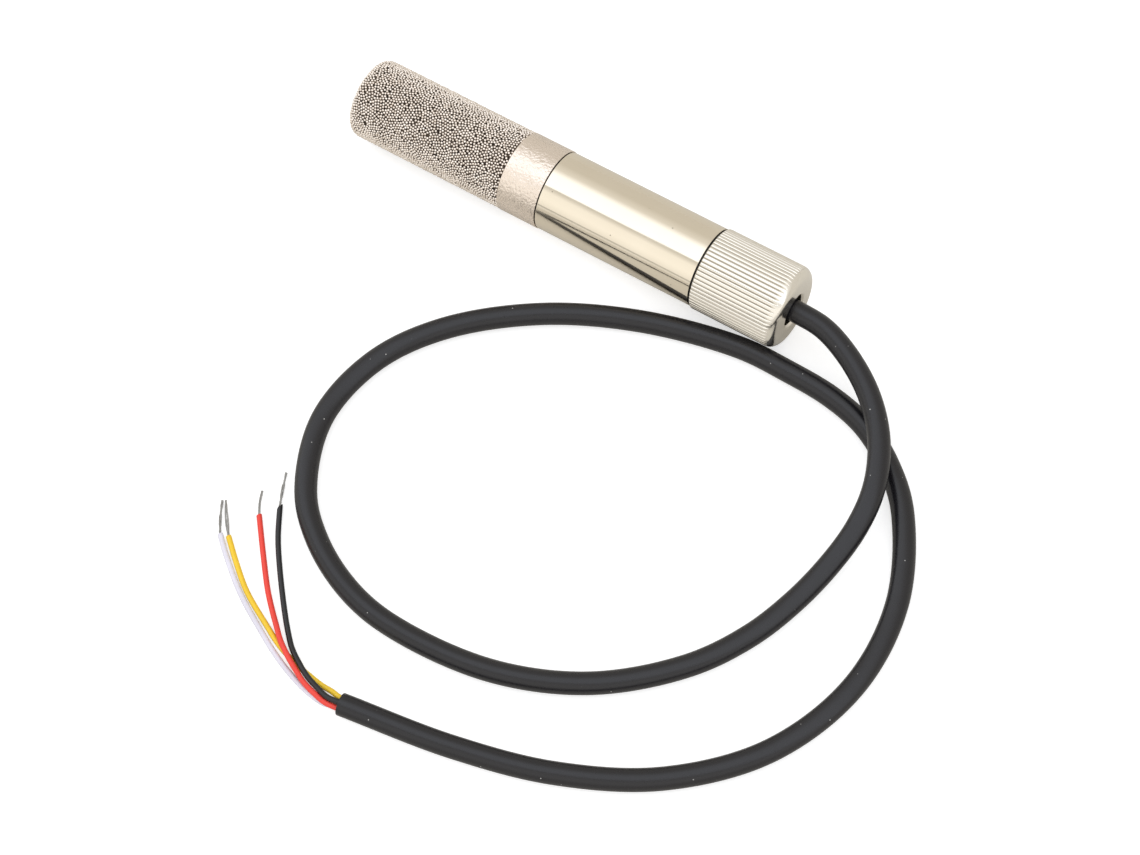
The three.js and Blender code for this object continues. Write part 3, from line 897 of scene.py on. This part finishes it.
grommet = {
    "passage": 2.08 * mm,
    "body": 5.1 * mm,
    "head": 5.8 * mm,
    "taper": 1.2 * mm,
    "lip": 0.35 * mm,
}


def makeGrommet(g):
    headX = rearThreadX + seatGap
    taper = g["taper"]
    corners = [
        (grommetX, g["passage"], 0.1 * mm),
        (grommetX, g["body"] - taper, 0.3 * mm),
        (grommetX + taper, g["body"], 0.3 * mm),
        (headX, g["body"], 0.02 * mm),
        (headX, g["head"], 0.15 * mm),
        (grommetEndX - taper, g["head"], 0.4 * mm),
        (grommetEndX, g["head"] - taper, g["lip"]),
        (grommetEndX, g["passage"], 0.15 * mm),
    ]
    piece = turnedPiece("cableGrommet", outlineRows(corners), 72, "rubber")
    dressed(piece, "housing", "black_rubber", "cable_grommet")


makeCollar(collar)
makeTube(tube)
makeSoftRings()
makeGrommet(grommet)
print("collar, tube and soft rings made")

cap = {
    "radius": 7.75 * mm,
    "teeth": 60,
    "depth": 0.22 * mm,
    "sharpness": 3.6,  # 2 is a round ridge, more is a flatter one with a narrower groove
    "perTooth": 10,
    "round": 2.0 * mm,
    "roundRows": 20,
    "straight": 0.2 * mm,  # lead on each side of the rounding
    "bevel": 0.2 * mm,
    "thread": 6.65 * mm,
    "mouth": 0.5 * mm,
    "cut": -0.42 * mm,
    "chamber": 5.9 * mm,
    "hole": 3.0 * mm,
    "holeBreak": 0.35 * mm,
    "finish": ("#EDE9E0", "#E6E0D5", 0.13, 0.006),
    # painted shade: the colour at the bottom of the knurl's grooves, and below it where the shade
    # starts and stops
    "grooveShadeColour": "#9F9789",
    "shaded": (0.9, 0.35),  # shares of a groove's depth between which it darkens
    "shadeEnd": (2.3 * mm, 1.7 * mm),  # before the cap's end
}


def makeCap(c):
    wallX = washerEndX + seatGap
    threadEndX = rearThreadX + 0.3 * mm
    fine = 0.05 * mm
    radius, size = c["radius"], c["round"]
    corners = [
        (capX, radius - c["bevel"], fine),
        (capX + c["bevel"], radius, fine),
        (capEndX, radius, 0),
        (capEndX, c["hole"] + c["holeBreak"], fine),
        (capEndX - c["holeBreak"], c["hole"], fine),
        (wallX, c["hole"], fine),
        (wallX, c["chamber"], fine),
        (threadEndX, c["chamber"], fine),
        (threadEndX, c["thread"], fine),
        (capX + c["mouth"], c["thread"], fine),
        (capX, c["thread"] + c["mouth"], fine),
    ]
    rows = outlineRows(corners, {8: c["cut"]})
    # the third corner becomes a true quarter circle with a short straight lead on each side
    bend = np.linspace(math.pi / 2, 0, c["roundRows"])
    centreX, level = capEndX - size, radius - size
    arc = np.column_stack([centreX + size * np.cos(bend), level + size * np.sin(bend), 0 * bend])
    lead = [(centreX - c["straight"], radius, 0)]
    tail = [(capEndX, level - c["straight"], 0)]
    rows = np.vstack([rows[: 2 * perCorner], lead, arc, tail, rows[3 * perCorner :]])
    # a groove's share of its depth: distance from the ridge's middle, 0 to 1, to a power
    sides = c["teeth"] * c["perTooth"]
    tooth = np.arange(sides) / c["perTooth"]
    groove = np.abs(2 * (tooth - np.round(tooth))) ** c["sharpness"]
    limit = radius - c["depth"] * groove
    piece = turnedPiece("knurledCap", rows, sides, "cap", sharp=50, limit=limit)
    dressed(piece, "cap", "knurled_nickel", "knurled_cap")


capLook = polishedNickel(*cap["finish"], grooves=cap)
finishes["cap"] = newMaterial("knurledNickel", skin, capLook)
makeCap(cap)
print("cap made")


board = {
    "top": axisZ + 0.5 * mm,
    "trace": 0.24 * mm,
    "copper": 0.035 * mm,
    "trackStep": 0.002 * mm,  # between strips, so that crossing ones never share a face
    "padSize": (0.24 * mm, 0.15 * mm),  # half sizes of the chip's pads
    "pad": 0.04 * mm,
    "solderRadius": 0.7 * mm,
    "solderHeight": 0.55 * mm,
    "solderPad": 0.82 * mm,
    "ventRadius": 0.6 * mm,
    "ventDepth": 0.3 * mm,
    "ventBreak": 0.05 * mm,
    "endCap": 0.16 * mm,  # half length of the metal ends of the small parts
    "bareWire": 0.24 * mm,
    "lead": 1.0 * mm,
    "creep": 0.35 * mm,
    "sides": 64,
}
leadRows = {"red": -2.85, "black": -0.95, "yellow": 0.95, "white": 2.85}  # y of each soldered core
# corners of the copper tracks on one side, in millimetres from the chip's middle; the first two
# run on from their last corner to the soldered cores
rimTrack = [(0, 1), (0, 3.1), (6, 3.1), (6.3, 2.85)]
innerTrack = [(1.35, 0.5), (6.2, 0.5), (9, 0.95)]
tap = [(3.4, 0.4), (4.6, 1.6), (4.6, 3.1)]


def rowsOfBlock(halfA, halfB, low, high, ease, square=14.0):
    # rows of half sizes, level and squareness, with both rims rounded by a quarter circle
    bend = np.linspace(0, math.pi / 2, 5)
    inset = ease * (1 - np.sin(bend))
    up = ease * (1 - np.cos(bend))
    rim = [(halfA - i, halfB - i, low + u, square) for i, u in zip(inset, up)]
    lid = [(a, b, low + high - z, square) for a, b, z, _ in rim[::-1]]
    return [(0, 0, low, square), *rim, *lid, (0, 0, high, square)]


def blockPoints(rows, centre, axis, sides):
    # each row is a superellipse: half size times cosine and sine to the power of two over its
    # squareness, so 2 is round and a high number is square; the rows stand on each other along the
    # axis
    halfA, halfB, level, square = np.array(rows, float).T[:, :, None]
    turn = np.arange(sides) * tau / sides
    c, s = np.cos(turn)[None], np.sin(turn)[None]
    a = halfA * np.sign(c) * np.abs(c) ** (2 / square)
    b = halfB * np.sign(s) * np.abs(s) ** (2 / square)
    level = np.broadcast_to(level, a.shape)
    parts = {"z": [a, b, level], "x": [level, a, b]}[axis]
    return (np.stack(parts, -1) + np.array(centre)).reshape(-1, 3)


def blockPiece(name, blocks, material, axis="z", sides=48, hollow=False):
    # one mesh of several closed blocks, each given by its rows and its centre
    points, faces, count = [], [], 0
    for rows, centre in blocks:
        points.append(blockPoints(rows, centre, axis, sides))
        faces.append(gridFaces(len(rows), sides, wrapRows=hollow) + count)
        count += len(points[-1])
    return closePoles(addPiece(name, np.vstack(points), [np.vstack(faces)], material, 35))


def middleOf(node):
    low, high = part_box(node)
    return (low + high) / 2, (high - low) / 2


def camelName(node):
    first, *others = node.split("_")
    return first + "".join(word.capitalize() for word in others)


def makeBoard(b):
    middle, half = middleOf("sensor_board")
    rows = rowsOfBlock(half.x, half.y, -half.z, half.z, 0.05 * mm, 60)
    piece = blockPiece("sensorBoard", [(rows, tuple(middle))], "mask", sides=96)
    dressed(piece, "housing", "board", "sensor_board")
    # the tracks are flat strips with sloping sides, each end drawn to a point
    chipX = middleOf("sensor_chip")[0].x
    run = (middleOf("solder_joint_red")[0].x - chipX) / mm
    rim, inner = [*rimTrack, (run, rimTrack[-1][1])], [*innerTrack, (run, innerTrack[-1][1])]
    wide, tall = b["trace"] / 2, b["copper"]
    profile = np.array([(-wide, -tall), (-wide + tall, tall), (wide - tall, tall), (wide, -tall)])
    points, faces, count = [], [], 0
    tracks = ((-1, rim), (-1, inner), (1, inner), (1, rim), (-1, tap), (1, tap))
    for i, (side, route) in enumerate(tracks):
        level = b["top"] - b["trackStep"] * i
        path = np.array([(chipX + x * mm, side * y * mm, level) for x, y in route])
        ahead = np.gradient(path, axis=0)
        ahead /= np.linalg.norm(ahead, axis=1, keepdims=True)
        across, rise = profile[None, :, :1], profile[None, :, 1:] * np.array([0, 0, 1])
        ring = path[:, None] + across * np.cross(ahead, (0, 0, 1))[:, None] + rise
        first, last = (np.stack([ring[end].mean(0)] * 4)[None] for end in (0, -1))
        ring = np.concatenate([first, ring, last])
        points.append(ring.reshape(-1, 3))
        faces.append(gridFaces(len(ring), 4) + count)
        count += ring.size // 3
    piece = addPiece("boardTracks", np.vstack(points), [np.vstack(faces)], "track", 20)
    dressed(closePoles(piece), "housing", "board")


def makeChip(b):
    # the package with its vent sunk in the lid, and the vent's filter membrane
    middle, half = middleOf("sensor_chip")
    body = rowsOfBlock(half.x, half.y, -half.z, half.z, 0.07 * mm, 26)[:-1]
    vent, deep, slope = b["ventRadius"], half.z - b["ventDepth"], b["ventBreak"]
    body += [(vent + slope, vent + slope, half.z, 2), (vent, vent, half.z - slope, 2)]
    body += [(vent, vent, deep, 2), (0, 0, deep, 2)]
    piece = blockPiece("sensorChip", [(body, tuple(middle))], "chip", sides=b["sides"])
    dressed(piece, "housing", "chip_body", "sensor_chip")
    inside = vent - 0.06 * mm
    rows = rowsOfBlock(inside, inside, 0, 0.05 * mm, 0.02 * mm, 2)
    centre = (middle.x, middle.y, middle.z + deep + 0.01 * mm)
    dressed(blockPiece("chipMembrane", [(rows, centre)], "membrane"), "housing", "chip_body")
    pad = rowsOfBlock(*b["padSize"], 0, b["pad"], 0.015 * mm, 10)
    return [
        (pad, (middle.x + side * 1.2 * mm, middle.y + row * mm, b["top"]))
        for side in (-1, 1)
        for row in (-0.75, -0.25, 0.25, 0.75)
    ]


smallParts = [
    # node, finish, slot
    ("decoupling_capacitor", "ceramic", "ceramic"),
    ("pull_up_resistor_1", "alumina", "chip_body"),
    ("pull_up_resistor_2", "alumina", "chip_body"),
]
# a solder fillet: how far each row stands out past the metal end along the part and across it, and
# its level, in millimetres
fillet = [(0.34, 0.12, 0), (0.3, 0.08, 0.05), (0.2, 0.02, 0.14), (0.16, 0, 0.3)]


def makeSmallParts(b, metal):
    # a ceramic block with a metal end and a solder fillet on each side; resistors have a dark film
    for node, finish, slot in smallParts:
        middle, half = middleOf(node)
        thin = 0.03 * mm
        long, wide, tall = half.x - 0.1 * mm, half.y - thin, half.z - thin
        rows = rowsOfBlock(long, wide, -half.z, tall, 0.05 * mm, 30)
        piece = blockPiece(camelName(node), [(rows, tuple(middle))], finish)
        dressed(piece, "housing", slot, node)
        end = rowsOfBlock(b["endCap"], half.y, -half.z, half.z, 0.06 * mm, 12)
        solder = [(x * mm, half.y + y * mm, z * mm, 8) for x, y, z in fillet]
        solder = [(0, 0, 0, 8), *solder, (0, 0, fillet[-1][2] * mm, 8)]
        for side in (-1, 1):
            metal.append((end, (middle.x + side * (half.x - b["endCap"]), middle.y, middle.z)))
            metal.append((solder, (middle.x + side * (half.x + 0.02 * mm), middle.y, b["top"])))
        if finish == "alumina":
            long, wide = half.x - 0.32 * mm, half.y - 0.04 * mm
            film = rowsOfBlock(long, wide, -0.01 * mm, thin, 0.02 * mm, 20)
            centre = (middle.x, middle.y, middle.z + tall)
            piece = blockPiece(camelName(node) + "Film", [(film, centre)], "chip")
            dressed(piece, "housing", "chip_body")
    dressed(blockPiece("chipSolder", metal, "solder"), "housing", "solder")


def makePotting(b):
    # a plug with the board's slot; its faces creep up the tube's wall and the board, as a meniscus
    middle, half = middleOf("potting_plug")
    slot = middleOf("sensor_board")[1]
    radius = half.y
    slotY, slotZ = slot.y + 0.1 * mm - radius, slot.z + 0.1 * mm - radius
    share = np.linspace(0, 1, 9)
    dip = b["creep"] * (1 - np.abs(2 * share - 1) ** 2.5)
    fit = [
        (radius + slotY * k, radius + slotZ * k, half.x - d, 2 + 38 * k**3)
        for k, d in zip(share, dip)
    ]
    rows = fit + [(a, b, -x, n) for a, b, x, n in fit[::-1]]
    piece = blockPiece("pottingPlug", [(rows, tuple(middle))], "epoxy", "x", 96, hollow=True)
    dressed(piece, "housing", "epoxy", "potting_plug")


def makeJoint(colour, b):
    # solder: a dome that flows out on its pad
    middle, _ = middleOf("solder_joint_" + colour)
    radius, tall, pad = b["solderRadius"], b["solderHeight"], b["solderPad"]
    rows = [(0, 0, 0, 2), (pad, pad, 0, 2), (pad, pad, b["pad"], 2)]
    for k in np.linspace(0.04, 1, 12):
        wide = radius * (1 - k)
        rows.append((wide, wide, 0.05 * mm + tall * math.sin(math.pi / 2 * k) ** 0.8, 2))
    blocks = [(rows, (middle.x, middle.y, b["top"]))]
    joint = blockPiece("solder" + colour.capitalize(), blocks, "solder")
    dressed(joint, "housing", "solder", "solder_joint_" + colour)


def makeLead(colour, y, b):
    # the insulated lead from its joint to the jacket, where the four lie in a square, and the bare
    # wire that runs from it into the solder
    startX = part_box("inner_lead_" + colour)[0].x / mm
    level, jacketX = b["top"] / mm + 0.6, cableRoute[0][0]
    gathered = 0.96 * math.sqrt(0.5)
    gatheredY = math.copysign(gathered, y)
    gatheredZ = axisHeight + (gathered if abs(y) < 1.9 else -gathered)
    route = [
        (startX, y, level),
        (startX + 1.5, y, level),
        ((startX + jacketX) / 2, y, gatheredZ),
        (jacketX - 1.8, gatheredY, gatheredZ),
        (jacketX - 0.3, gatheredY, gatheredZ),
    ]
    path = smoothPath(route)
    length, radius = pathLength(path), b["lead"] / 2
    stations = np.concatenate([[0, 0], np.linspace(0, length, 60), [length]])
    radii = np.concatenate([[0, radius * 0.9], np.full(60, radius), [0]])
    piece = roundCord("lead" + colour.capitalize(), path, stations, radii, 20, colour)
    dressed(piece, "housing", "core_" + colour, "inner_lead_" + colour)
    drop = [(-1.1, 0.3), (-0.4, 0.12), (0.2, 0)]  # how far ahead of the lead, and below it
    wire = smoothPath([(startX + x, y, level - down) for x, down in drop])
    run = np.linspace(0, pathLength(wire), 16)
    radii = [0, *[b["bareWire"]] * 14, 0]
    piece = roundCord("wire" + colour.capitalize(), wire, run, radii, 14, "strand")
    dressed(piece, "housing", "tinned_copper")


makeBoard(board)
makeSmallParts(board, makeChip(board))
makePotting(board)
for colour, row in leadRows.items():
    makeJoint(colour, board)
    makeLead(colour, row, board)
print("board and leads made")


def makeFloor(size=3.0):
    points = size * np.array([(-1, -1, 0), (1, -1, 0), (1, 1, 0), (-1, 1, 0)])
    addPiece("floor", points, [np.array([[0, 1, 2, 3]])], "floor")


# degrees about the probe's axis, from the +Y horizon over the top, with brightness and warmth
tent = {
    "bands": [
        (0, 0.74, 0.9), (38, 0.76, 0.9), (60, 0.95, 0.5), (76, 1.5, -0.5), (113.8, 1.58, -0.6),
        (115.2, 0.72, 0.6), (118, 0.8, 0.6), (130, 1.2, 0.4), (152, 1.25, 0.4),
        (170.5, 1.1, 0.5), (172.3, 0.5, 0.5), (173.7, 0.5, 0.5), (175.5, 1.0, 0.5), (180, 0.9, 0.5),
    ],
    "warm": (0.0, 0.05, 0.14),  # how much of red, green and blue a warm band loses
    "horizon": 1.0,
}


def makeTent(t):
    # a ramp of brightness by the turn about the probe's axis; the camera sees plain white instead
    world = bpy.data.worlds.new("light tent")
    world.use_nodes = True
    tree = world.node_tree
    tree.nodes.clear()
    way = addNode(tree, "TexCoord").outputs["Generated"]
    parts = addNode(tree, "SeparateXYZ", [way]).outputs
    turn = addNode(tree, "Math", [parts["Z"], parts["Y"]], operation="ARCTAN2")
    ramp = addNode(tree, "ValToRGB", [addNode(tree, "MapRange", [turn, 0, math.pi])])
    brightest = max(level for _, level, _ in t["bands"])
    stops = ramp.color_ramp.elements
    while len(stops) < len(t["bands"]):
        stops.new(0.5)
    for stop, (degrees, level, warmth) in zip(stops, t["bands"]):
        stop.position = degrees / 180
        stop.color = (*(level / brightest * (1 - warmth * loss) for loss in t["warm"]), 1)
    soft = addNode(tree, "Background", {"Color": ramp, "Strength": brightest})
    plain = addNode(tree, "Background", {"Color": (1, 1, 1, 1), "Strength": t["horizon"]})
    seen = addNode(tree, "LightPath").outputs["Is Camera Ray"]
    addNode(tree, "OutputWorld", [addNode(tree, "MixShader", [seen, soft, plain])])
    bpy.context.scene.world = world


makeFloor()
makeTent(tent)
bpy.context.scene.view_settings.view_transform = "Standard"
print("floor and light made")
